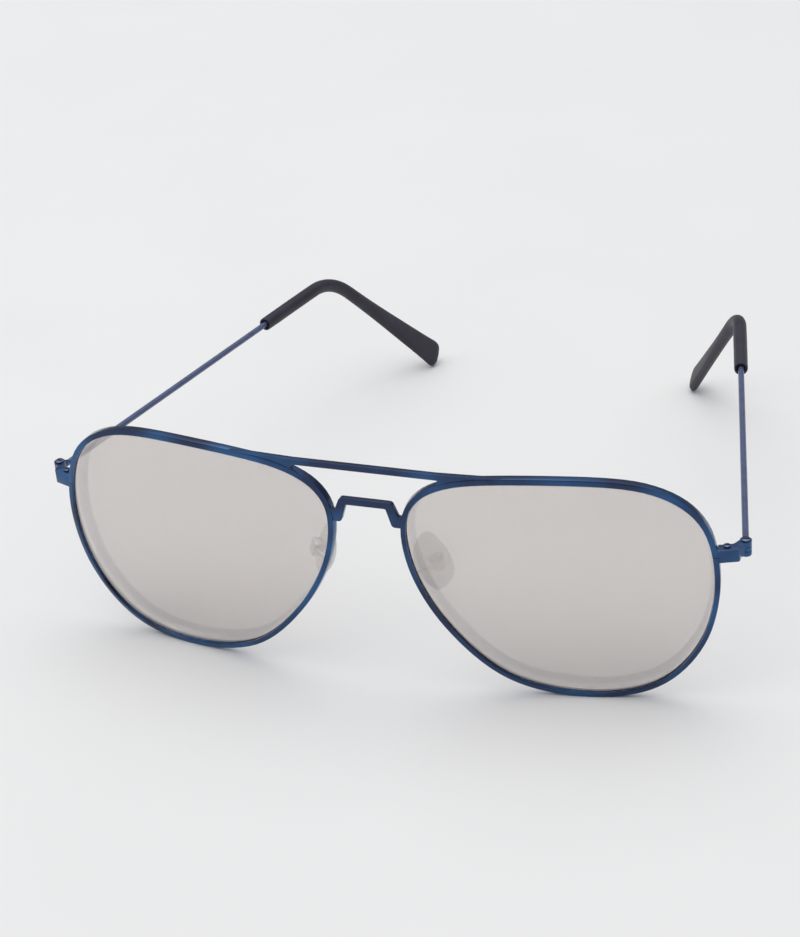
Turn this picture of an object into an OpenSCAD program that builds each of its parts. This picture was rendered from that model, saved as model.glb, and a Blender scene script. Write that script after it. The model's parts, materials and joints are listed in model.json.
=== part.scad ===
// Double-bridge metal sunglasses with wire temples, standing open on their lower rims and temple tips.
// Every shape is drawn in the front's own frame: x across the face (+x is the wearer's left), y towards the
// wearer's ears, z up, with z = 0 at mid height of the lenses. "standing" then leans that frame to rest on z = 0,
// with the origin under the middle of the open glasses.

/* [Lenses] */
// Width of each lens opening, seen square to the lens
lens_width = 59.4; // [57:0.2:61]
// Height of each lens opening
lens_height = 48; // [46:0.2:50]
// Gap between the two lens openings at the nose
lens_gap = 16; // [15:0.2:18]
// Radius that the front of the lens is curved to
base_radius = 112; // [100:1:125]
// Angle that each lens is turned back round the face
wrap_angle = 7.3; // [6:0.1:8.5]
// Thickness of a lens
lens_thick = 1.8; // [1.6:0.1:2.2]

/* [Front] */
// Width of the rim's face at the sides and bottom
rim_face = 1; // [0.9:0.05:1.2]
// Extra width of the rim's face along the top
rim_top_extra = 0.1; // [0:0.05:0.3]
// Depth of the rim from front to back
rim_depth = 1.5; // [1.4:0.05:1.8]
// Thickness of the brow bar and of the nose bridge
bar_thick = 1.1; // [1:0.05:1.3]
// Height of the brow bar, seen from the front
brow_height = 1.2; // [1:0.1:1.6]
// Width of the nose bridge's bent bar, seen from the front
bridge_bar = 1.4; // [1.2:0.1:1.6]

/* [Hinges] */
// Distance of a hinge pin from the middle of the front
hinge_x = 71.4; // [71.2:0.1:72]
// Distance of a hinge pin behind the middle of the front
hinge_y = 11.7; // [11.5:0.1:12.2]
// Outer radius of the hinge knuckles
knuckle_r = 1.15; // [1.1:0.05:1.3]
// Radius of the hinge pin
pin_r = 0.6; // [0.5:0.05:0.65]

/* [Temples] */
// Inward angle of an open temple
open_angle = 12.5; // [11:0.1:14]
// Downward slope of a temple from the front's own horizontal
temple_slope = 3.7; // [3:0.1:4.5]
// Length of bare wire, from the hinge pin to the tip's mouth
wire_length = 76; // [72:1:80]
// Radius of the temple wire
wire_r = 0.65; // [0.6:0.05:0.75]
// Length of the tip's straight part, before its bend
tip_straight = 20.5; // [18:0.5:24]
// Radius of the bend over the ear
bend_radius = 16; // [13:1:18]
// Angle of the bend over the ear
bend_angle = 48; // [45:1:52]
// Inward lean of the bend's plane
bend_lean = 19; // [15:1:21]
// Length of the tip's flattened drop, after the bend
drop_length = 37; // [34:0.5:39]
// Radius of the tip's round part
tip_r = 1.5; // [1.4:0.1:1.7]
// Width of the tip's flat end
paddle_width = 7; // [6:0.2:8]
// Thickness of the tip's flat end
paddle_thick = 2.4; // [2.2:0.1:3]

/* [Nose pads] */
// Length of a nose pad
pad_length = 12.6; // [11:0.2:14]
// Width of a nose pad
pad_width = 7.4; // [7:0.2:8]
// Outward splay of the pads from front to back
pad_splay = 35; // [30:1:38]
// Outward flare of the pads from top to bottom
pad_flare = 20; // [16:1:22]

/* [Stance] */
// Backward lean that rests the glasses on their temple tips
stance_angle = 3.52; // [3:0.01:5]
// Height of the lens centres above the table
stance_height = 24.845; // [20:0.005:30]
// Distance that the front stands ahead of the middle of the open glasses
front_ahead = 69.33; // [60:0.01:80]

/* [Hidden] */

paint_blue = [0.16, 0.27, 0.42];
wire_blue = [0.33, 0.35, 0.47];
plum_black = [0.2, 0.18, 0.25];
steel = [0.75, 0.75, 0.77];
mirror_grey = [0.78, 0.76, 0.75, 0.8];
clear_vinyl = [0.9, 0.92, 0.92, 0.5];

fine = 96;                          // facets on small round parts in the preview
big = 360;                          // facets on the lens spheres in the preview
reach = 40;                         // longer than any cut through the front
half_width = lens_width / 2;
half_height = lens_height / 2;

// Left lens opening on the lens's own axes, as shares of its half width and half height.
// Round the outline from the upper temple corner, over the top, down the nose side and back.
teardrop = [
  [0.91, 0.65], [0.57, 0.94], [-0.01, 1], [-0.65, 0.91], [-0.95, 0.64], [-0.95, 0.16],
  [-0.73, -0.38], [-0.34, -0.85], [0.17, -1], [0.62, -0.89], [0.91, -0.47], [1.01, 0.12]
];
steps = 8;                          // points on each span of a curved outline

// Points along a closed smooth curve through p
function span_point(p, i, t) =
  let (n = len(p), a = p[(i + n - 1) % n], b = p[i], c = p[(i + 1) % n], d = p[(i + 2) % n])
  ((2 * b) + (c - a) * t + (2 * a - 5 * b + 4 * c - d) * t * t + (3 * b - a - 3 * c + d) * t * t * t) / 2;
function smooth_loop(p) = [for (i = [0:len(p) - 1], k = [0:steps - 1]) span_point(p, i, k / steps)];

// Outward unit normal at point i of an anticlockwise loop p
function loop_normal(p, i) =
  let (n = len(p), along = p[(i + 1) % n] - p[(i + n - 1) % n])
  [along[1], -along[0]] / norm(along);
// Loop p moved out by w, and by top more where it faces up
function grown(p, w, top = 0) =
  [for (i = [0:len(p) - 1]) let (out = loop_normal(p, i)) p[i] + out * (w + top * max(0, out[1]))];

// Corners [x, y, radius] of a polygon, each rounded to its radius
function corner_arc(p, i) =
  let (
    n = len(p), v = [p[i][0], p[i][1]], before = p[(i + n - 1) % n], after = p[(i + 1) % n],
    a = [before[0], before[1]] - v, b = [after[0], after[1]] - v, u = a / norm(a), w = b / norm(b),
    half = acos(u * w) / 2, r = p[i][2], mid = (u + w) / norm(u + w), centre = v + mid * r / sin(half),
    start = v + u * r / tan(half) - centre, finish = v + w * r / tan(half) - centre,
    turn = sign(start[0] * finish[1] - start[1] * finish[0]) * (180 - 2 * half)
  )
  r == 0 ? [v] : [for (k = [0:6]) let (q = turn * k / 6)
    centre + [start[0] * cos(q) - start[1] * sin(q), start[0] * sin(q) + start[1] * cos(q)]];
function rounded(p) = [for (i = [0:len(p) - 1]) each corner_arc(p, i)];
function mirrored(p) = [for (i = [len(p) - 1:-1:0]) [-p[i][0], p[i][1], p[i][2]]];

opening = smooth_loop([for (q = teardrop) [q[0] * half_width, q[1] * half_height]]);
rim_outline = grown(opening, rim_face, rim_top_extra);

// Each lens sits on a sphere; its own axes are turned out by the wrap angle
lens_x = lens_gap / 2 + 0.99 * half_width;
lens_y = -1.6;
rim_front = base_radius + 0.2;
rim_back = rim_front - rim_depth;
lens_front = base_radius - 0.2;
lens_back = lens_front - lens_thick;
bevel_front = lens_front - 0.35;
bevel_back = bevel_front - 0.5;
bevel_out = 0.4;

// The brow bar and bridge are cut from one flat thickness that leans back a little
bar_lean = 3.4;
bar_y = -0.8;                       // front face of the bars at the height of the bridge's feet
bar_z = 11.5;
brow_low = 22.95;
brow_top = brow_low + brow_height;
crotch_x = lens_gap / 2 + 7.6;
bridge_top = 16.8;
bridge_foot = 11.5;
bridge_half = 5.3;

// End piece, closing block and hinge heights
block_low = 6.8;
block_top = 9.5;
split_z = 8.15;
split_gap = 0.1;
block_turn = 20;                    // the block runs out and back at this angle
block_in = -7.5;                    // along the block, from the hinge pin, to inside the rim
block_front = -3.15;                // across the block, from the hinge pin
block_back = -0.95;
wall_back = -2.3;
pocket_end = -2.9;
knuckle_low = 6.4;
leaf_low = 7.45;                    // the temple's knuckle, between the front's two
leaf_top = 8.4;
leaf_gap = 0.05;
leaf_z = (leaf_low + leaf_top) / 2;
leaf_half = 0.5;                    // half width of the leaf that carries the wire
hub = 2.6;                          // distance from the hinge pin to the start of the wire
running = 0.05;                     // radial play of the temple's knuckle on the pin
seat = 0.02;                        // radial play of fixed screws and wires in their holes
rim_screw_x = -3.75;
rim_screw_y = -1.62;
rim_screw_r = 0.45;
head_r = 0.85;
head_high = 0.3;
slot_wide = 0.3;
slot_deep = 0.18;

// Nose pad, on axes with x out from the nose through the pad, y back and z up
pad_at = [lens_gap / 2 + 2.7, 4.7, 1.3];
pad_thick = 1.7;
pad_crown = 12;                     // radius of the crowned bearing face
box_near = 1.35;                    // the box's open mouth
box_far = 3.5;
box_half_y = 1.15;
box_half_z = 1.5;
box_wall = 0.5;
lug_x = 2.15;                       // screw through the lug
lug_r = 0.65;
lug_half_y = 0.5;
pad_screw_r = 0.35;
arm_r = 0.4;

bend_start = wire_length + tip_straight;
mouth_deep = 1.2;
mouth_r = 1.05;
waist_y = 12;                       // where the drop starts to widen
waist_half = 1.85;
waist_thick = 2.6;
paddle_corner = 1.8;                // corner radius of the flat end
paddle_edge = 0.6;                  // rounding of its thickness
tip_sides = 24;
bend_rings = 8;

module standing() {
  translate([0, -front_ahead, stance_height]) rotate([stance_angle, 0, 0]) children();
}
module left() { standing() children(); }
module right() { standing() mirror([1, 0, 0]) children(); }

module lens_axes() { translate([lens_x, lens_y, 0]) rotate([0, 0, wrap_angle]) children(); }
// A flat outline in x and z, drawn through the front from face to back
module through(points) { rotate([90, 0, 0]) linear_extrude(height = reach, center = true) polygon(points); }
module lens_ball(r) { translate([0, base_radius, 0]) sphere(r = r, $fn = big); }
module shell(points, outer, inner) {
  difference() {
    intersection() {
      through(points);
      lens_ball(outer);
    }
    lens_ball(inner);
  }
}
module lens_blank() {
  shell(opening, lens_front, lens_back);
  shell(grown(opening, bevel_out), bevel_front, bevel_back);
}
module rim_solid() { lens_axes() shell(rim_outline, rim_front, rim_back); }
// A standing round peg, from z = low to z = top
module peg(x, y, low, top, r) { translate([x, y, low]) cylinder(r = r, h = top - low, $fn = fine); }
module slab(x, y, z) {
  translate([x[0], y[0], z[0]]) cube([x[1] - x[0], y[1] - y[0], z[1] - z[0]]);
}
module plan(points, low, top) { translate([0, 0, low]) linear_extrude(height = top - low) polygon(points); }
module slotted_head(x, y, z, r) {
  difference() {
    peg(x, y, z, z + head_high, r);
    translate([x, y, z + head_high]) cube([3 * r, slot_wide, 2 * slot_deep], center = true);
  }
}

module rim() {
  difference() {
    rim_solid();
    lens_axes() {
      through(opening);
      shell(grown(opening, bevel_out), bevel_front, bevel_back);
    }
    slab([lens_x, reach * 2], [0, reach], [split_z - split_gap, split_z]);
  }
}
module lens() { lens_axes() lens_blank(); }

module bar(points) {
  difference() {
    translate([0, bar_y, bar_z]) rotate([-bar_lean, 0, 0]) translate([0, 0, -bar_z])
      rotate([90, 0, 0]) translate([0, 0, -bar_thick]) linear_extrude(height = bar_thick) polygon(points);
    rim_cut();
    mirror([1, 0, 0]) rim_cut();
  }
}
module rim_cut() { lens_axes() through(rim_outline); }

brow_half = [
  [0, brow_low, 0], [crotch_x, brow_low, 0.45], [crotch_x - 2.6, brow_low - 2.7, 0], [crotch_x + 8, 22.3, 0],
  [crotch_x + 14, 23.6, 0], [crotch_x + 12, brow_top + 0.5, 0], [crotch_x - 1, brow_top, 20], [0, brow_top, 0]
];
bridge_half_line = [
  [0, bridge_top - bridge_bar, 0], [bridge_half - 1.25, bridge_top - bridge_bar, 0.4],
  [bridge_half - 0.1, bridge_foot, 0.8], [lens_gap / 2 + 0.8, bridge_foot, 0],
  [lens_gap / 2 + 0.8, bridge_foot + 4, 0], [bridge_half + 1.3, bridge_foot + 2.2, 0.25],
  [bridge_half, bridge_top, 0.9], [0, bridge_top, 0]
];

// Axes on the hinge pin, turned to run along the end piece's block
module block_axes() { translate([hinge_x, hinge_y, 0]) rotate([0, 0, block_turn]) children(); }
// Plan of the end piece: a block in front, then a neck that swings back to the knuckles
end_plan = [
  [block_in, block_front, 0], [-1.6, block_front, 0.6], [-1.05, -1.7, 0.5], [1, -0.5, 0.2],
  [0, 0, 0], [-1, 0.3, 0.1], [-2.4, block_back, 0.9], [block_in, block_back, 0]
];
module end_piece() {
  difference() {
    block_axes() difference() {
      union() {
        plan(rounded(end_plan), block_low, block_top);
        peg(0, 0, knuckle_low, block_top, knuckle_r);
      }
      slab([block_in - 1, pocket_end], [wall_back, reach], [block_low - 1, split_z]);
      peg(0, 0, leaf_low - leaf_gap, leaf_top + leaf_gap, knuckle_r + 0.2);
      peg(0, 0, knuckle_low - 1, block_top + 1, pin_r + seat);
      peg(rim_screw_x, rim_screw_y, split_z - 1, block_top + 1, rim_screw_r + seat);
    }
    rim_cut();
    slab([hinge_x - 4, hinge_x], [hinge_y - 1.25, reach], [leaf_low - leaf_gap, leaf_top + leaf_gap]);
  }
}
module closing_block() {
  difference() {
    block_axes() difference() {
      slab([block_in, pocket_end - split_gap], [wall_back + seat, block_back],
        [block_low, split_z - split_gap]);
      peg(rim_screw_x, rim_screw_y, block_low - 1, split_z, rim_screw_r + seat);
    }
    rim_cut();
  }
}
module rim_screw() {
  block_axes() {
    peg(rim_screw_x, rim_screw_y, block_low, block_top, rim_screw_r);
    slotted_head(rim_screw_x, rim_screw_y, block_top, 0.65);
  }
}
module hinge_screw() {
  block_axes() {
    peg(0, 0, knuckle_low, block_top, pin_r);
    slotted_head(0, 0, block_top, head_r);
  }
}

// Axes along an open temple: y runs down the wire from the hinge pin
module temple_axes() {
  translate([hinge_x, hinge_y, leaf_z]) rotate([0, 0, open_angle]) children();
}
module wire_axes() { temple_axes() rotate([-temple_slope, 0, 0]) children(); }
// A round bar along y
module along(start, finish, r) {
  translate([0, start, 0]) rotate([-90, 0, 0]) cylinder(r = r, h = finish - start, $fn = 48);
}

// A closed skin over rings of points, each with the same number of points
module lofted(rings) {
  sides = len(rings[0]);
  last = len(rings) - 1;
  walls = [for (i = [0:last - 1], k = [0:sides - 1]) let (a = i * sides, n = (k + 1) % sides)
    [a + k, a + sides + k, a + sides + n, a + n]];
  near_end = [for (k = [0:sides - 1]) k];
  far_end = [for (k = [sides - 1:-1:0]) last * sides + k];
  polyhedron([for (ring = rings) each ring], concat([near_end], walls, [far_end]));
}

module temple_hinge() {
  difference() {
    union() {
      peg(hinge_x, hinge_y, leaf_low, leaf_top, knuckle_r);
      temple_axes() slab([-leaf_half, leaf_half], [0, hub], [leaf_low - leaf_z, leaf_top - leaf_z]);
    }
    peg(hinge_x, hinge_y, leaf_low - 1, leaf_top + 1, pin_r + running);
    wire_axes() along(hub, hub + 2, wire_r + 1);
  }
}
// The wire's core reaches almost to the bend
module temple_wire() { wire_axes() along(hub, bend_start - 1, wire_r); }

// Directions at an angle round the bend, on the wire's axes: away from its centre, and along the tip
bend_up = [sin(bend_lean), 0, cos(bend_lean)];
bend_side = [-cos(bend_lean), 0, sin(bend_lean)];
function bend_out(q) = bend_up * cos(q) + [0, sin(q), 0];
function bend_along(q) = [0, cos(q), 0] - bend_up * sin(q);
function bend_point(q) = [0, bend_start, 0] + bend_radius * (bend_out(q) - bend_up);
// One ring round the tip, half_w by half_t, from round at square = 2 to nearly flat-sided above it
function eased(c, square) = sign(c) * pow(abs(c), 2 / square);
function tip_ring(centre, out, half_w, half_t, square) =
  [for (k = [0:tip_sides - 1]) let (q = 360 * k / tip_sides)
    centre + out * half_w * eased(cos(q), square) + bend_side * half_t * eased(sin(q), square)];
function drop_ring(d, half_w, half_t, square) =
  tip_ring(bend_point(bend_angle) + d * bend_along(bend_angle), bend_out(bend_angle), half_w, half_t, square);
tip_rings = concat(
  [tip_ring([0, wire_length, 0], bend_up, tip_r, tip_r, 2)],
  [for (i = [0:bend_rings]) let (q = bend_angle * i / bend_rings)
    tip_ring(bend_point(q), bend_out(q), tip_r, tip_r, 2)],
  [drop_ring(waist_y, waist_half, waist_thick / 2, 2.4)],
  [for (q = [0:30:90])
    drop_ring(
      drop_length - paddle_corner * (1 - sin(q)),
      paddle_width / 2 - paddle_corner * (1 - cos(q)),
      paddle_thick / 2 - paddle_edge * (1 - cos(q)),
      3
    )]
);
module temple_tip() {
  wire_axes() difference() {
    lofted(tip_rings);
    along(wire_length - 1, bend_start - 1, wire_r + seat);
    along(wire_length - 1, wire_length + mouth_deep, mouth_r);
  }
}

module pad_axes() {
  translate(pad_at) rotate([0, -pad_flare, 0]) rotate([0, 0, -pad_splay]) children();
}
pad_loop = smooth_loop([
  [0, pad_length / 2], [-0.38 * pad_width, pad_length * 0.32], [-0.5 * pad_width, -pad_length * 0.1],
  [-0.3 * pad_width, -pad_length * 0.44], [0, -pad_length / 2], [0.36 * pad_width, -pad_length * 0.4],
  [0.5 * pad_width, -pad_length * 0.08], [0.3 * pad_width, pad_length * 0.38]
]);
// A round bar across the pad, along its y axis
module across(x, half, r) {
  translate([x, 0, 0]) rotate([90, 0, 0]) cylinder(r = r, h = 2 * half, center = true, $fn = 48);
}
module nose_pad() {
  pad_axes() difference() {
    union() {
      intersection() {
        rotate([90, 0, 90]) linear_extrude(height = pad_thick, center = true) polygon(pad_loop);
        translate([pad_crown - pad_thick / 2, 0, 0]) sphere(r = pad_crown, $fn = fine);
      }
      across(lug_x, lug_half_y, lug_r);
      slab([pad_thick / 2 - 0.2, lug_x], [-lug_half_y, lug_half_y], [-0.5, 0.5]);
    }
    across(lug_x, 2, pad_screw_r + running);
  }
}
module box_block() {
  pad_axes() slab([box_near, box_far], [-box_half_y, box_half_y], [-box_half_z, box_half_z]);
}
module pad_box() {
  difference() {
    box_block();
    pad_axes() {
      slab([box_near - 1, box_far - box_wall], [box_wall - box_half_y, box_half_y - box_wall],
        [box_wall - box_half_z, box_half_z - box_wall]);
      across(lug_x, 3, pad_screw_r + seat);
    }
  }
}
module pad_screw() {
  pad_axes() {
    across(lug_x, box_half_y, pad_screw_r);
    translate([lug_x, box_half_y + 0.15, 0]) rotate([90, 0, 0]) difference() {
      cylinder(r = 0.6, h = 0.3, center = true, $fn = 48);
      translate([0, 0, -0.15]) cube([2, 0.2, 0.24], center = true);
    }
  }
}
// Arm from the rim's back: straight back, then out between lens and pad to the box
arm_root = [lens_gap / 2 + 1.2, -0.9, 1];
arm_back = [lens_gap / 2 + 0.6, 1.7, 1];
arm_turn = [lens_gap / 2 + 2.6, 0.45, 1.2];
arm_in = 3.1;                       // how far along the pad's x axis the arm enters the box
arm_up = 0.3;
pad_out = [cos(pad_flare) * cos(pad_splay), -sin(pad_splay), sin(pad_flare) * cos(pad_splay)];
arm_end = pad_at + arm_in * pad_out + arm_up * [-sin(pad_flare), 0, cos(pad_flare)];
function arm_point(t) =
  arm_root * pow(1 - t, 3) + 3 * arm_back * pow(1 - t, 2) * t + 3 * arm_turn * (1 - t) * t * t + arm_end * pow(t, 3);
arm_rings = 14;
arm_sides = 12;
function arm_ring(t) =
  let (
    d = arm_point(t + 0.01) - arm_point(t - 0.01), ahead = d / norm(d),
    flat = cross(ahead, [0, 0, 1]), side = flat / norm(flat), up = cross(side, ahead)
  )
  [for (k = [0:arm_sides - 1]) let (q = 360 * k / arm_sides)
    arm_point(t) + arm_r * (side * cos(q) + up * sin(q))];
module pad_arm() {
  difference() {
    lofted([for (i = [0:arm_rings]) arm_ring(i / arm_rings)]);
    rim_solid();
    box_block();
  }
}

module left_rim() { color(paint_blue) left() rim(); }
module right_rim() { color(paint_blue) right() rim(); }
module brow_bar() { color(paint_blue) standing() bar(rounded(concat(brow_half, mirrored(brow_half)))); }
module nose_bridge() {
  color(paint_blue) standing() bar(rounded(concat(bridge_half_line, mirrored(bridge_half_line))));
}
module left_lens() { color(mirror_grey) left() lens(); }
module right_lens() { color(mirror_grey) right() lens(); }
module left_end_piece() { color(paint_blue) left() end_piece(); }
module right_end_piece() { color(paint_blue) right() end_piece(); }
module left_closing_block() { color(paint_blue) left() closing_block(); }
module right_closing_block() { color(paint_blue) right() closing_block(); }
module left_rim_screw() { color(steel) left() rim_screw(); }
module right_rim_screw() { color(steel) right() rim_screw(); }
module left_hinge_screw() { color(steel) left() hinge_screw(); }
module right_hinge_screw() { color(steel) right() hinge_screw(); }
module left_pad_arm() { color(steel) left() pad_arm(); }
module right_pad_arm() { color(steel) right() pad_arm(); }
module left_pad_box() { color(steel) left() pad_box(); }
module right_pad_box() { color(steel) right() pad_box(); }
module left_pad_screw() { color(steel) left() pad_screw(); }
module right_pad_screw() { color(steel) right() pad_screw(); }
module left_nose_pad() { color(clear_vinyl) left() nose_pad(); }
module right_nose_pad() { color(clear_vinyl) right() nose_pad(); }
module left_temple_hinge() { color(paint_blue) left() temple_hinge(); }
module right_temple_hinge() { color(paint_blue) right() temple_hinge(); }
module left_temple_wire() { color(wire_blue) left() temple_wire(); }
module right_temple_wire() { color(wire_blue) right() temple_wire(); }
module left_temple_tip() { color(plum_black) left() temple_tip(); }
module right_temple_tip() { color(plum_black) right() temple_tip(); }

left_rim();
right_rim();
brow_bar();
nose_bridge();
left_lens();
right_lens();
left_end_piece();
right_end_piece();
left_closing_block();
right_closing_block();
left_rim_screw();
right_rim_screw();
left_hinge_screw();
right_hinge_screw();
left_pad_arm();
right_pad_arm();
left_pad_box();
right_pad_box();
left_pad_screw();
right_pad_screw();
left_nose_pad();
right_nose_pad();
left_temple_hinge();
right_temple_hinge();
left_temple_wire();
right_temple_wire();
left_temple_tip();
right_temple_tip();
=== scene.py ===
"""Aviator sunglasses, standing open: enamelled front, mirrored lenses, rocking pads and sleeved temples."""

import json
from math import cos, pi, radians, sin

import bpy
from bpy.props import FloatProperty, FloatVectorProperty, IntProperty, PointerProperty
from mathutils import Matrix, Vector


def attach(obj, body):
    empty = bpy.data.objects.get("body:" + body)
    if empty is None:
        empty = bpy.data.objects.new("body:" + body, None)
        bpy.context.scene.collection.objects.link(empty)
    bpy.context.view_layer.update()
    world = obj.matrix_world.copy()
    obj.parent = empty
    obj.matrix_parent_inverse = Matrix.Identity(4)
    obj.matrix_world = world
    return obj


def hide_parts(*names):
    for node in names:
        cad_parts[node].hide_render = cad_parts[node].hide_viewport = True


bl_info = {
    "name": "Aviator Sunglasses",
    "version": (1, 0, 0),
    "blender": (4, 5, 0),
    "location": "3D View > Sidebar > Sunglasses",
    "description": "Builds enamelled wire sunglasses round their packed frame",
    "category": "Add Mesh",
}

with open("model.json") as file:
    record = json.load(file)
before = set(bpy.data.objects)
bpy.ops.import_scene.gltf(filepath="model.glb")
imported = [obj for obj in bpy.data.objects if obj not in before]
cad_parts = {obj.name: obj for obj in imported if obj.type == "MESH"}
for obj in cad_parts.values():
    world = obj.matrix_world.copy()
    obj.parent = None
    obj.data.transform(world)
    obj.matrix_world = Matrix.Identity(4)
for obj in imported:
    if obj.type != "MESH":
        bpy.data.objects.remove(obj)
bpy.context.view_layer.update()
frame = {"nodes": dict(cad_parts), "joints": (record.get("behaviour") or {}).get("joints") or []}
MM = 0.001
SIDES = ("left", "right")
ENAMEL = "baked blue enamel"
MERGE = 0.001 * MM
ROUND_OVER = radians(32)


# ---------------------------------------------------------------- settings


class SunglassesSizes(bpy.types.PropertyGroup):
    """Sizes of the pieces that are modelled here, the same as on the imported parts."""

    lean: FloatProperty(
        name="Lean", description="Backward lean of the standing front", default=radians(3.52), subtype="ANGLE"
    )
    open_angle: FloatProperty(
        name="Opening", description="Inward angle of an open temple", default=radians(12.5), subtype="ANGLE"
    )
    slope: FloatProperty(
        name="Slope", description="Fall of a temple from the front", default=radians(3.7), subtype="ANGLE"
    )
    hub: FloatProperty(
        name="Hub", description="From the hinge pin to the start of the wire", default=2.6 * MM, unit="LENGTH"
    )
    wire_radius: FloatProperty(
        name="Wire radius", description="Radius of the temple wire", default=0.65 * MM, unit="LENGTH"
    )
    bare_wire: FloatProperty(
        name="Bare wire", description="From hinge pin to sleeve's mouth", default=76 * MM, unit="LENGTH"
    )
    sleeve_straight: FloatProperty(
        name="Straight sleeve", description="Sleeve length before the bend", default=20.5 * MM, unit="LENGTH"
    )
    sleeve_radius: FloatProperty(
        name="Sleeve radius", description="Radius of the sleeve's round part", default=1.5 * MM, unit="LENGTH"
    )
    mouth_radius: FloatProperty(
        name="Mouth radius", description="Radius of the sleeve's open mouth", default=1.05 * MM, unit="LENGTH"
    )
    mouth_depth: FloatProperty(
        name="Mouth depth", description="Depth of the sleeve's open mouth", default=1.2 * MM, unit="LENGTH"
    )
    bend_radius: FloatProperty(
        name="Bend radius", description="Radius of the bend over the ear", default=16 * MM, unit="LENGTH"
    )
    bend_angle: FloatProperty(
        name="Bend angle", description="Angle of the bend over the ear", default=radians(48), subtype="ANGLE"
    )
    bend_lean: FloatProperty(
        name="Bend lean", description="Inward lean of the bend's plane", default=radians(19), subtype="ANGLE"
    )
    drop: FloatProperty(
        name="Drop", description="Length of the flattened end past the bend", default=37 * MM, unit="LENGTH"
    )
    paddle_width: FloatProperty(
        name="Paddle width", description="Width of the flattened end", default=7 * MM, unit="LENGTH"
    )
    paddle_thickness: FloatProperty(
        name="Paddle thickness", description="Thickness of the flattened end", default=2.4 * MM, unit="LENGTH"
    )
    smoothing: IntProperty(
        name="Smoothing", description="Subdivision levels of the sleeves", default=3, min=1, max=4
    )


def linear(code):
    """An sRGB hex colour such as 8fa0b4 as linear red, green and blue."""
    shares = (int(code[i:i + 2], 16) / 255 for i in (0, 2, 4))
    return tuple(c / 12.92 if c <= 0.04045 else ((c + 0.055) / 1.055) ** 2.4 for c in shares)


def colour_setting(name, description, code):
    return FloatVectorProperty(
        name=name, description=description, default=linear(code), size=3, min=0, max=1, subtype="COLOR"
    )


class SunglassesColours(bpy.types.PropertyGroup):
    """Colours of the finishes."""

    # The enamel's tone drifts at random between these two. The blue patches are painted highlights and the
    # navy patches are painted shade, standing in for reflections in the gloss; the navy is not enamel that is
    # thicker.
    enamel: colour_setting("Front enamel", "Slate-blue enamel on the front", "275586")
    enamel_painted_shade: colour_setting("Front enamel, painted shade", "Navy enamel painted in as shade", "1e3053")
    wire_enamel: colour_setting("Temple enamel", "Violet-grey enamel on the wires", "4a5679")
    sleeve: colour_setting("Sleeves", "Plum-black acetate of the tips", "1c1728")
    sleeve_bloom: colour_setting("Sleeve bloom", "Cloudy bloom on the handled sleeve", "2e283b")
    mirror: colour_setting("Mirror coat", "Silver mirror coat of the lenses", "d8d1cd")
    steel: colour_setting("Steel", "Bright steel of the pad arms, boxes and screws", "c4c4c8")
    dark_steel: colour_setting("Dark steel", "Darkened steel of the hinge and rim screws", "66708a")
    vinyl: colour_setting("Pad vinyl", "Clear vinyl of the nose pads", "f0f2f2")
    floor: colour_setting("Floor", "Pale board under the glasses", "ececec")


class SunglassesStage(bpy.types.PropertyGroup):
    """Where the camera and the lights stand."""

    azimuth: FloatProperty(
        name="Azimuth", description="Camera's turn round the front", default=radians(20.25), subtype="ANGLE"
    )
    elevation: FloatProperty(
        name="Elevation", description="Camera's angle above floor", default=radians(28.46), subtype="ANGLE"
    )
    roll: FloatProperty(
        name="Roll", description="Camera's turn about its own axis", default=radians(-3.68), subtype="ANGLE"
    )
    distance: FloatProperty(
        name="Distance", description="From the camera to its target", default=0.48, unit="LENGTH"
    )
    target: FloatVectorProperty(
        name="Target", description="Camera's target", default=(0.0081, -0.0722, 0.0503), unit="LENGTH"
    )
    focal_length: FloatProperty(
        name="Focal length", description="Focal length on a 36 mm sensor", default=97.7, unit="CAMERA"
    )
    floor_size: FloatProperty(
        name="Floor", description="Side of the floor board", default=6, unit="LENGTH"
    )


class SunglassesSettings(bpy.types.PropertyGroup):
    """Everything that a user would change."""

    sizes: PointerProperty(type=SunglassesSizes)
    colours: PointerProperty(type=SunglassesColours)
    stage: PointerProperty(type=SunglassesStage)


def settings():
    return bpy.context.scene.sunglasses


# ---------------------------------------------------------------- materials


def add_node(owner, kind, values=None, links=None):
    """Adds a shader node, sets its properties or sockets, and links its inputs to other nodes' sockets."""
    tree = owner.node_tree
    node = tree.nodes.new(kind)
    for key, value in (values or {}).items():
        if key in node.inputs:
            node.inputs[key].default_value = value
        else:
            setattr(node, key, value)
    for key, socket in (links or {}).items():
        tree.links.new(socket, node.inputs[key])
    return node


def blank_material(name):
    """A material that holds only its output."""
    material = bpy.data.materials.new(name)
    material.use_nodes = True
    material.node_tree.nodes.clear()
    return material, add_node(material, "ShaderNodeOutputMaterial")


def finish_material(material, output, shader):
    material.node_tree.links.new(shader.outputs[0], output.inputs["Surface"])
    return material


def grain(material, size_mm, detail=2):
    """Cloudy noise whose blotches are about size_mm across."""
    place = add_node(material, "ShaderNodeTexCoord")
    return add_node(
        material,
        "ShaderNodeTexNoise",
        {"Scale": 1 / (size_mm * MM), "Detail": detail},
        {"Vector": place.outputs["Object"]},
    )


def ramp(material, factor, low, high, start=0.35, end=0.65):
    """Blends from colour low to colour high as factor goes from start to end."""
    node = add_node(material, "ShaderNodeValToRGB", links={"Fac": factor})
    for stop, place, colour in zip(node.color_ramp.elements, (start, end), (low, high)):
        stop.position = place
        stop.color = (*colour, 1)
    return node


def bump(material, height, depth_mm, strength):
    """Surface relief depth_mm deep."""
    return add_node(
        material, "ShaderNodeBump", {"Distance": depth_mm * MM, "Strength": strength}, {"Height": height}
    )


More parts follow.
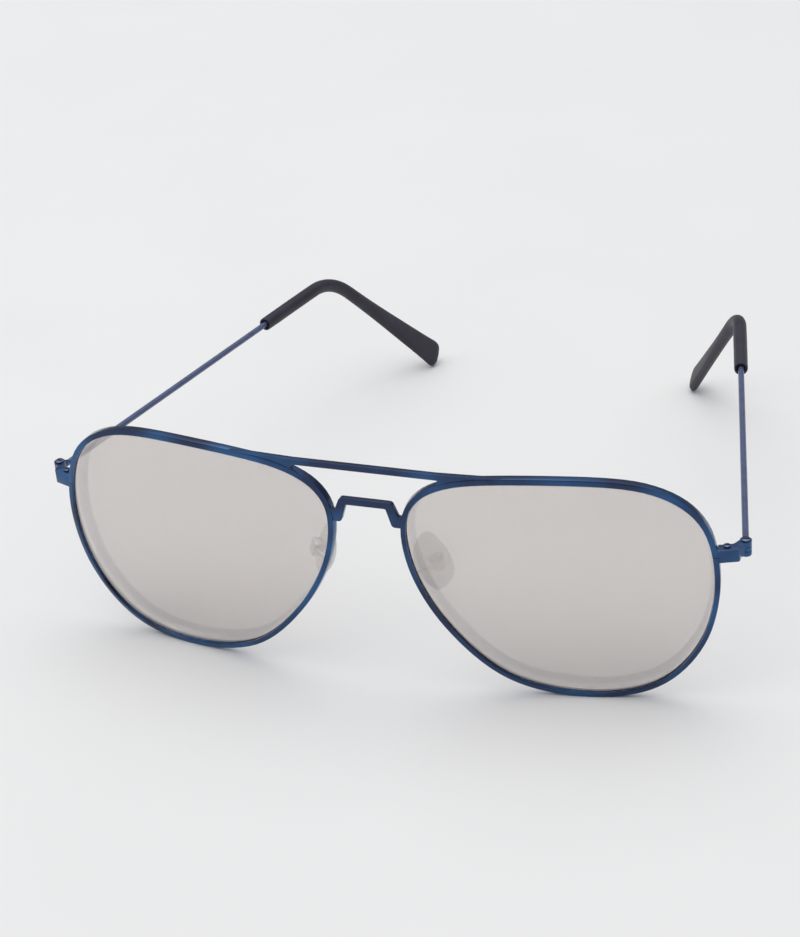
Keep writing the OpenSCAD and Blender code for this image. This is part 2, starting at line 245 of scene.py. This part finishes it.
def enamel_material():
    """Baked metallic enamel under a hard gloss: its tone drifts between navy and blue along a bar, as painted
    highlights and painted shade that stand in for the room's reflections.
    """
    colours = settings().colours
    material, output = blank_material(ENAMEL)
    # Painted reflections: blotches about 16 mm across, navy as painted shade and blue as painted highlight
    tone = ramp(material, grain(material, 16).outputs["Fac"], colours.enamel_painted_shade, colours.enamel, 0.4, 0.6)
    flow = bump(material, grain(material, 0.8).outputs["Fac"], 0.02, 0.15)
    shader = add_node(
        material,
        "ShaderNodeBsdfPrincipled",
        {"Metallic": 0.75, "Roughness": 0.2, "Coat Weight": 0.3, "Coat Roughness": 0.08},
        {"Base Color": tone.outputs["Color"], "Normal": flow.outputs["Normal"]},
    )
    return finish_material(material, output, shader)


def wire_material():
    """Satin violet-grey enamel on drawn wire: a soft highlight along the wire and faint drawing lines."""
    colour = settings().colours.wire_enamel
    material, output = blank_material("satin wire enamel")
    worn = tuple(min(1, c * 1.25) for c in colour)
    tone = ramp(material, grain(material, 3).outputs["Fac"], colour, worn)
    drawn = bump(material, grain(material, 0.25).outputs["Fac"], 0.01, 0.2)
    shader = add_node(
        material,
        "ShaderNodeBsdfPrincipled",
        {"Metallic": 0.3, "Roughness": 0.38, "IOR": 1.5, "Coat Weight": 0.25, "Coat Roughness": 0.25},
        {"Base Color": tone.outputs["Color"], "Normal": drawn.outputs["Normal"]},
    )
    return finish_material(material, output, shader)


def sleeve_material():
    """Tumbled cellulose acetate: plum-black and matt, with a cloudy bloom where it is handled."""
    colours = settings().colours
    material, output = blank_material("tumbled plum acetate")
    cloud = grain(material, 7, 3)
    bloom = ramp(material, cloud.outputs["Fac"], colours.sleeve, colours.sleeve_bloom, 0.4, 0.75)
    skin = bump(material, grain(material, 0.35).outputs["Fac"], 0.02, 0.25)
    shader = add_node(
        material,
        "ShaderNodeBsdfPrincipled",
        {"Roughness": 0.55, "IOR": 1.48, "Sheen Weight": 0.05, "Sheen Roughness": 0.5},
        {"Base Color": bloom.outputs["Color"], "Normal": skin.outputs["Normal"]},
    )
    return finish_material(material, output, shader)


def mirror_material():
    """Vapour-deposited silver: reflects the room, and what is behind it shows through a little."""
    colour = settings().colours.mirror
    material, output = blank_material("silver mirror coat")
    haze = ramp(material, grain(material, 25).outputs["Fac"], (0.05,) * 3, (0.09,) * 3)
    shader = add_node(
        material,
        "ShaderNodeBsdfPrincipled",
        {"Base Color": (*colour, 1), "Metallic": 1, "Alpha": 0.52},
        {"Roughness": haze.outputs["Color"]},
    )
    return finish_material(material, output, shader)


def steel_material(name, colour, roughness):
    """Turned steel: fine turning marks break up its highlight."""
    material, output = blank_material(name)
    marks = grain(material, 0.15)
    shine = ramp(material, marks.outputs["Fac"], (roughness * 0.7,) * 3, (roughness * 1.3,) * 3)
    shader = add_node(
        material,
        "ShaderNodeBsdfPrincipled",
        {"Base Color": (*colour, 1), "Metallic": 1},
        {"Roughness": shine.outputs["Color"]},
    )
    return finish_material(material, output, shader)


def vinyl_material():
    """Soft clear vinyl: glassy at its edges, slightly milky in the middle."""
    colour = settings().colours.vinyl
    material, output = blank_material("clear soft vinyl")
    skin = bump(material, grain(material, 0.5).outputs["Fac"], 0.01, 0.2)
    shader = add_node(
        material,
        "ShaderNodeBsdfPrincipled",
        {"Base Color": (*colour, 1), "Roughness": 0.22, "IOR": 1.53, "Alpha": 0.6, "Coat Weight": 0.3},
        {"Normal": skin.outputs["Normal"]},
    )
    return finish_material(material, output, shader)


def floor_material():
    """Matt painted board: pale, even and without gloss."""
    colour = settings().colours.floor
    material, output = blank_material("matt painted board")
    tone = ramp(material, grain(material, 60).outputs["Fac"], tuple(c * 0.985 for c in colour), colour)
    shader = add_node(
        material,
        "ShaderNodeBsdfPrincipled",
        {"Roughness": 0.9, "Specular IOR Level": 0.2},
        {"Base Color": tone.outputs["Color"]},
    )
    return finish_material(material, output, shader)


# ---------------------------------------------------------------- modelling helpers


def clear_selection():
    """Leaves edit mode and deselects everything."""
    if bpy.context.object and bpy.context.object.mode != "OBJECT":
        bpy.ops.object.mode_set(mode="OBJECT")
    bpy.ops.object.select_all(action="DESELECT")


def activate(piece):
    clear_selection()
    piece.select_set(True)
    bpy.context.view_layer.objects.active = piece


def smooth(piece, angle=35):
    """Smooth shading with sharp edges kept above an angle in degrees."""
    activate(piece)
    bpy.ops.object.shade_smooth_by_angle(angle=radians(angle))


def rounded_copy(node, name, radius_mm, segments=3):
    """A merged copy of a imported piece, with its sharp edges rounded."""
    piece = bpy.data.objects.new(name, frame["nodes"][node].data.copy())
    bpy.context.scene.collection.objects.link(piece)
    piece.data.name = name
    piece.data.materials.clear()
    activate(piece)
    bpy.ops.object.mode_set(mode="EDIT")
    bpy.ops.mesh.select_all(action="SELECT")
    bpy.ops.mesh.remove_doubles(threshold=MERGE)
    bpy.ops.mesh.customdata_custom_splitnormals_clear()
    bpy.ops.object.mode_set(mode="OBJECT")
    if radius_mm:
        edge = piece.modifiers.new("rounded edges", "BEVEL")
        edge.width = radius_mm * MM
        edge.segments = segments
        edge.limit_method = "ANGLE"
        edge.angle_limit = ROUND_OVER
        edge.use_clamp_overlap = True
        bpy.ops.object.modifier_apply(modifier=edge.name)
    smooth(piece)
    return piece


def hand_in(piece, body, slot, material, *nodes):
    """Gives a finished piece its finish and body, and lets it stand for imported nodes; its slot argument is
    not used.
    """
    piece.data.materials.append(material)
    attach(piece, body)
    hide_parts(*nodes)


# ---------------------------------------------------------------- pieces


class SUNGLASSES_OT_front(bpy.types.Operator):
    """Rounds the rims, brow bar, nose bridge, end pieces and closing blocks"""

    bl_idname = "sunglasses.front"
    bl_label = "Enamelled front"

    def execute(self, context):
        enamel = enamel_material()
        edges = {"brow_bar": 0.28, "nose_bridge": 0.28}
        for side in SIDES:
            edges[f"{side}_rim"] = 0.22
            edges[f"{side}_end_piece"] = 0.12
            edges[f"{side}_closing_block"] = 0.08
        for node, radius in edges.items():
            piece = rounded_copy(node, f"{node}_enamelled", radius)
            hand_in(piece, "front", "frame_paint", enamel, node)
        return {"FINISHED"}


class SUNGLASSES_OT_lenses(bpy.types.Operator):
    """Smooths the mirrored lenses"""

    bl_idname = "sunglasses.lenses"
    bl_label = "Mirrored lenses"

    def execute(self, context):
        mirror = mirror_material()
        for side in SIDES:
            piece = rounded_copy(f"{side}_lens", f"{side}_lens_mirrored", 0)
            smooth(piece, 20)
            hand_in(piece, "front", "lens_mirror", mirror, f"{side}_lens")
        return {"FINISHED"}


class SUNGLASSES_OT_nose_pads(bpy.types.Operator):
    """Rounds the clear pads and the steel arms, boxes and screws that carry them"""

    bl_idname = "sunglasses.nose_pads"
    bl_label = "Nose pads"

    def execute(self, context):
        vinyl = vinyl_material()
        steel = steel_material("bright pad steel", settings().colours.steel, 0.25)
        for side in SIDES:
            pad = rounded_copy(f"{side}_nose_pad", f"{side}_nose_pad_vinyl", 0.3)
            hand_in(pad, f"{side}_pad", "pad_vinyl", vinyl, f"{side}_nose_pad")
            for part, radius in (("pad_arm", 0), ("pad_box", 0.1), ("pad_screw", 0.05)):
                piece = rounded_copy(f"{side}_{part}", f"{side}_{part}_steel", radius, 2)
                slot = "screw_steel" if part == "pad_screw" else "pad_steel"
                hand_in(piece, "front", slot, steel, f"{side}_{part}")
        return {"FINISHED"}


class SUNGLASSES_OT_hinges(bpy.types.Operator):
    """Rounds the temples' hinge knuckles and the screws of the hinges and rims"""

    bl_idname = "sunglasses.hinges"
    bl_label = "Hinges and screws"

    def execute(self, context):
        steel = steel_material("darkened screw steel", settings().colours.dark_steel, 0.2)
        knuckle = bpy.data.materials.get(ENAMEL) or enamel_material()
        for side in SIDES:
            for part in ("hinge_screw", "rim_screw"):
                screw = rounded_copy(f"{side}_{part}", f"{side}_{part}_turned", 0.06, 2)
                hand_in(screw, "front", "screw_steel", steel, f"{side}_{part}")
            leaf = rounded_copy(f"{side}_temple_hinge", f"{side}_temple_hinge_enamelled", 0.08, 2)
            hand_in(leaf, f"{side}_temple", "frame_paint", knuckle, f"{side}_temple_hinge")
        return {"FINISHED"}


def wire_place():
    """Axes of the left temple's wire: y runs down it from the hinge pin."""
    sizes = settings().sizes
    hinge = next(j for j in frame["joints"] if j["name"] == "left_temple_fold")
    turn = Matrix.Rotation(sizes.lean, 4, "X") @ Matrix.Rotation(sizes.open_angle, 4, "Z")
    return Matrix.Translation(hinge["pos_m"]) @ turn @ Matrix.Rotation(-sizes.slope, 4, "X")


def settle(piece, place):
    """Moves a piece that was modelled on its own axes into the shared frame."""
    activate(piece)
    piece.matrix_world = place
    bpy.ops.object.transform_apply(location=True, rotation=True, scale=True)


def mirrored_copy(piece, name):
    """The same piece for the other side."""
    activate(piece)
    bpy.ops.object.duplicate()
    other = bpy.context.object
    other.name = name
    other.data.name = name
    other.scale.x = -1
    bpy.ops.object.transform_apply(location=False, rotation=False, scale=True)
    bpy.ops.object.mode_set(mode="EDIT")
    bpy.ops.mesh.select_all(action="SELECT")
    bpy.ops.mesh.normals_make_consistent(inside=False)
    bpy.ops.object.mode_set(mode="OBJECT")
    return other


class SUNGLASSES_OT_temple_wires(bpy.types.Operator):
    """Draws the temple wires, chamfered where they meet the hinge"""

    bl_idname = "sunglasses.temple_wires"
    bl_label = "Temple wires"

    def execute(self, context):
        sizes = settings().sizes
        enamel = wire_material()
        radius = sizes.wire_radius
        chamfer = radius * 0.35
        short_of_bend = 1 * MM
        length = sizes.bare_wire + sizes.sleeve_straight - short_of_bend - sizes.hub
        clear_selection()
        bpy.ops.mesh.primitive_circle_add(
            vertices=32, radius=radius - chamfer, fill_type="NGON",
            location=(0, sizes.hub, 0), rotation=(pi / 2, 0, 0)
        )
        wire = bpy.context.object
        bpy.ops.object.mode_set(mode="EDIT")
        bpy.ops.mesh.select_all(action="SELECT")
        for reach, wider in ((chamfer, radius / (radius - chamfer)), (length - chamfer, 1)):
            bpy.ops.mesh.extrude_region_move(TRANSFORM_OT_translate={"value": (0, reach, 0)})
            bpy.ops.transform.resize(value=(wider, 1, wider))
        bpy.ops.object.mode_set(mode="OBJECT")
        close_and_face_out(wire)
        settle(wire, wire_place() @ wire.matrix_world)
        smooth(wire)
        wire.name = wire.data.name = "left_temple_wire_drawn"
        other = mirrored_copy(wire, "right_temple_wire_drawn")
        for side, piece in zip(SIDES, (wire, other)):
            hand_in(piece, f"{side}_temple", "wire_paint", enamel, f"{side}_temple_wire")
        return {"FINISHED"}


def close_and_face_out(piece):
    """Fills any open loop, merges doubles and turns every face outwards."""
    activate(piece)
    bpy.ops.object.mode_set(mode="EDIT")
    bpy.ops.mesh.select_all(action="SELECT")
    bpy.ops.mesh.remove_doubles(threshold=MERGE)
    bpy.ops.mesh.select_all(action="DESELECT")
    bpy.ops.mesh.select_non_manifold(
        extend=False, use_wire=False, use_multi_face=False, use_non_contiguous=False
    )
    bpy.ops.mesh.edge_face_add()
    bpy.ops.mesh.select_all(action="SELECT")
    bpy.ops.mesh.normals_make_consistent(inside=False)
    bpy.ops.object.mode_set(mode="OBJECT")


def select_points(piece, wanted):
    """Selects in edit mode the points whose place passes a test."""
    bpy.ops.mesh.select_all(action="DESELECT")
    bpy.ops.object.mode_set(mode="OBJECT")
    for point in piece.data.vertices:
        point.select = wanted(point.co)
    bpy.ops.object.mode_set(mode="EDIT")


class SUNGLASSES_OT_temple_tips(bpy.types.Operator):
    """Models the acetate sleeves: open mouth, bend over the ear and flattened end"""

    bl_idname = "sunglasses.temple_tips"
    bl_label = "Temple tips"

    def execute(self, context):
        sizes = settings().sizes
        # A ring of points pulls in when it is subdivided; this brings it back to its radius
        ring_points = 16
        pull = 6 / (4 + 2 * cos(2 * pi / ring_points))
        radius = sizes.sleeve_radius * pull
        half_w = sizes.paddle_width / 2
        half_t = sizes.paddle_thickness / 2
        corner = 1.8 * MM
        flat = half_t * 1.02
        hair = 0.1 * MM

        # On the drop's own axes: y down the drop, x across the paddle, z through it
        clear_selection()
        bpy.ops.mesh.primitive_circle_add(
            vertices=ring_points, radius=radius, fill_type="NOTHING", rotation=(pi / 2, 0, 0)
        )
        tip = bpy.context.object
        bpy.ops.object.transform_apply(location=False, rotation=True, scale=False)
        bpy.ops.object.mode_set(mode="EDIT")
        bpy.ops.mesh.select_mode(type="VERT")
        bpy.ops.mesh.select_all(action="SELECT")
        bpy.ops.transform.rotate(value=pi / ring_points, orient_axis="Y", center_override=(0, 0, 0))

        # Drop: each ring's distance, half width, half thickness and how far its flats are spread
        rings = (
            (1 * MM, radius, radius, 1),
            (6 * MM, 1.6 * MM * pull, 1.42 * MM * pull, 1),
            (12 * MM, 1.85 * MM * pull, 1.32 * MM * pull, 1.12),
            (24 * MM, 2.65 * MM, flat, 1.25),
            (sizes.drop - 2.4 * corner, half_w - 0.35 * MM, flat, 1.12),
            (sizes.drop - corner, half_w, flat, 1),
            (sizes.drop - 0.5 * corner, half_w * 0.93, half_t * 0.97, 1),
            (sizes.drop - 0.13 * corner, half_w * 0.74, half_t * 0.78, 1),
            (sizes.drop, half_w * 0.45, half_t * 0.4, 1),
        )
        reached, wide, thick = 0, radius, radius
        for distance, to_w, to_t, spread in rings:
            bpy.ops.mesh.extrude_region_move(TRANSFORM_OT_translate={"value": (0, distance - reached, 0)})
            bpy.ops.transform.resize(value=(to_w / wide, 1, to_t / thick), center_override=(0, distance, 0))
            if spread > 1:
                on_flats = 0.75 * to_w
                select_points(tip, lambda p: abs(p.y - distance) < hair and abs(p.x) < on_flats)
                bpy.ops.transform.resize(value=(spread, 1, 1), center_override=(0, distance, 0))
                select_points(tip, lambda p: abs(p.y - distance) < hair)
            reached, wide, thick = distance, to_w, to_t
        bpy.ops.mesh.edge_face_add()

        # Bend: the first ring spun back round the bend's centre, on its own plane
        select_points(tip, lambda p: abs(p.y) < hair)
        bend_steps = 8
        bpy.ops.mesh.spin(
            steps=bend_steps, angle=sizes.bend_angle, center=(-sizes.bend_radius, 0, 0), axis=(0, 0, 1)
        )
        turned = -sizes.bend_angle
        ahead = Vector((-sin(turned), cos(turned), 0))
        start = Vector((sizes.bend_radius * (cos(turned) - 1), sizes.bend_radius * sin(turned), 0))

        # Straight part, its rounded lip and its open mouth
        lip = 0.15 * MM
        throat = sizes.wire_radius * 0.9
        path = (
            (-(sizes.sleeve_straight - lip), 1),
            (-0.7 * lip, 1 - 0.4 * lip / radius),
            (-0.3 * lip, 1 - lip / radius),
            (0, sizes.mouth_radius / sizes.sleeve_radius),
            (sizes.mouth_depth, 1),
            (0, throat / sizes.mouth_radius),
        )
        place = start.copy()
        for step, scale in path:
            place += ahead * step
            bpy.ops.mesh.extrude_region_move(TRANSFORM_OT_translate={"value": ahead * step})
            if scale != 1:
                bpy.ops.transform.resize(value=(scale, scale, scale), center_override=place)
        bpy.ops.mesh.edge_face_add()
        bpy.ops.object.mode_set(mode="OBJECT")
        close_and_face_out(tip)

        skin = tip.modifiers.new("smooth sleeve", "SUBSURF")
        skin.levels = skin.render_levels = sizes.smoothing
        activate(tip)
        bpy.ops.object.modifier_apply(modifier=skin.name)
        bend = (
            Matrix.Translation((0, sizes.bare_wire + sizes.sleeve_straight, 0))
            @ Matrix.Rotation(sizes.bend_lean, 4, "Y")
            @ Matrix.Translation((0, 0, -sizes.bend_radius))
            @ Matrix.Rotation(-pi / 2, 4, "Y")
            @ Matrix.Rotation(sizes.bend_angle, 4, "Z")
            @ Matrix.Translation((sizes.bend_radius, 0, 0))
        )
        settle(tip, wire_place() @ bend)
        smooth(tip, 60)
        tip.name = tip.data.name = "left_temple_tip_sleeve"
        other = mirrored_copy(tip, "right_temple_tip_sleeve")
        acetate = sleeve_material()
        for side, piece in zip(SIDES, (tip, other)):
            hand_in(piece, f"{side}_temple", "tip_plastic", acetate, f"{side}_temple_tip")
        return {"FINISHED"}


# ---------------------------------------------------------------- stage


def soft_light(name, place, target, size, watts):
    """A large square light that faces a point."""
    bpy.ops.object.light_add(type="AREA", location=place)
    light = bpy.context.object
    light.name = name
    light.data.size = size
    light.data.energy = watts
    light.rotation_euler = (Vector(target) - Vector(place)).to_track_quat("-Z", "Y").to_euler()


class SUNGLASSES_OT_stage(bpy.types.Operator):
    """Lays the pale floor and sets the soft lights and the camera"""

    bl_idname = "sunglasses.stage"
    bl_label = "Stage"

    def execute(self, context):
        view = settings().stage
        clear_selection()
        bpy.ops.mesh.primitive_plane_add(size=view.floor_size)
        floor = bpy.context.object
        floor.name = "floor"
        floor.data.materials.append(floor_material())

        # A pale ceiling over darker walls: soft light from above, and dark edges on the gloss
        world = bpy.data.worlds.new("soft ceiling")
        context.scene.world = world
        world.use_nodes = True
        room = world.node_tree.nodes["Background"]
        direction = add_node(world, "ShaderNodeTexCoord")
        height = add_node(world, "ShaderNodeSeparateXYZ", links={"Vector": direction.outputs["Generated"]})
        dome = ramp(world, height.outputs["Z"], (0.24, 0.25, 0.27), (1.3, 1.3, 1.3), 0.42, 0.95)
        world.node_tree.links.new(dome.outputs["Color"], room.inputs["Color"])
        room.inputs["Strength"].default_value = 1.05
        soft_light("overhead", (-0.3, 0.2, 1.2), (0, 0, 0), 1.2, 3)
        soft_light("window", (-0.9, -0.9, 0.9), (0, 0, 0), 0.8, 2)

        turn = (
            Matrix.Rotation(view.azimuth, 4, "Z")
            @ Matrix.Rotation(pi / 2 - view.elevation, 4, "X")
            @ Matrix.Rotation(view.roll, 4, "Z")
        )
        bpy.ops.object.camera_add()
        camera = context.object
        camera.name = "camera"
        camera.data.lens = view.focal_length
        camera.data.sensor_width = 36
        camera.data.clip_start = 0.01
        place = Vector(view.target) + turn.to_3x3() @ Vector((0, 0, view.distance))
        camera.matrix_world = Matrix.Translation(place) @ turn
        context.scene.camera = camera
        context.scene.view_settings.view_transform = "Standard"
        return {"FINISHED"}


# ---------------------------------------------------------------- panel and registration


OPERATORS = (
    SUNGLASSES_OT_front,
    SUNGLASSES_OT_lenses,
    SUNGLASSES_OT_nose_pads,
    SUNGLASSES_OT_hinges,
    SUNGLASSES_OT_temple_wires,
    SUNGLASSES_OT_temple_tips,
    SUNGLASSES_OT_stage,
)


class SUNGLASSES_PT_panel(bpy.types.Panel):
    """Lists the steps that build the sunglasses"""

    bl_idname = "SUNGLASSES_PT_panel"
    bl_label = "Sunglasses"
    bl_space_type = "VIEW_3D"
    bl_region_type = "UI"
    bl_category = "Sunglasses"

    def draw(self, context):
        for operator in OPERATORS:
            self.layout.operator(operator.bl_idname)


CLASSES = (
    SunglassesSizes,
    SunglassesColours,
    SunglassesStage,
    SunglassesSettings,
    *OPERATORS,
    SUNGLASSES_PT_panel,
)


def register():
    for item in CLASSES:
        bpy.utils.register_class(item)
    bpy.types.Scene.sunglasses = PointerProperty(type=SunglassesSettings)


def unregister():
    del bpy.types.Scene.sunglasses
    for item in reversed(CLASSES):
        bpy.utils.unregister_class(item)


def main():
    register()
    bpy.ops.sunglasses.front()
    bpy.ops.sunglasses.lenses()
    bpy.ops.sunglasses.nose_pads()
    bpy.ops.sunglasses.hinges()
    bpy.ops.sunglasses.temple_wires()
    bpy.ops.sunglasses.temple_tips()
    bpy.ops.sunglasses.stage()


if __name__ == "__main__":
    main()
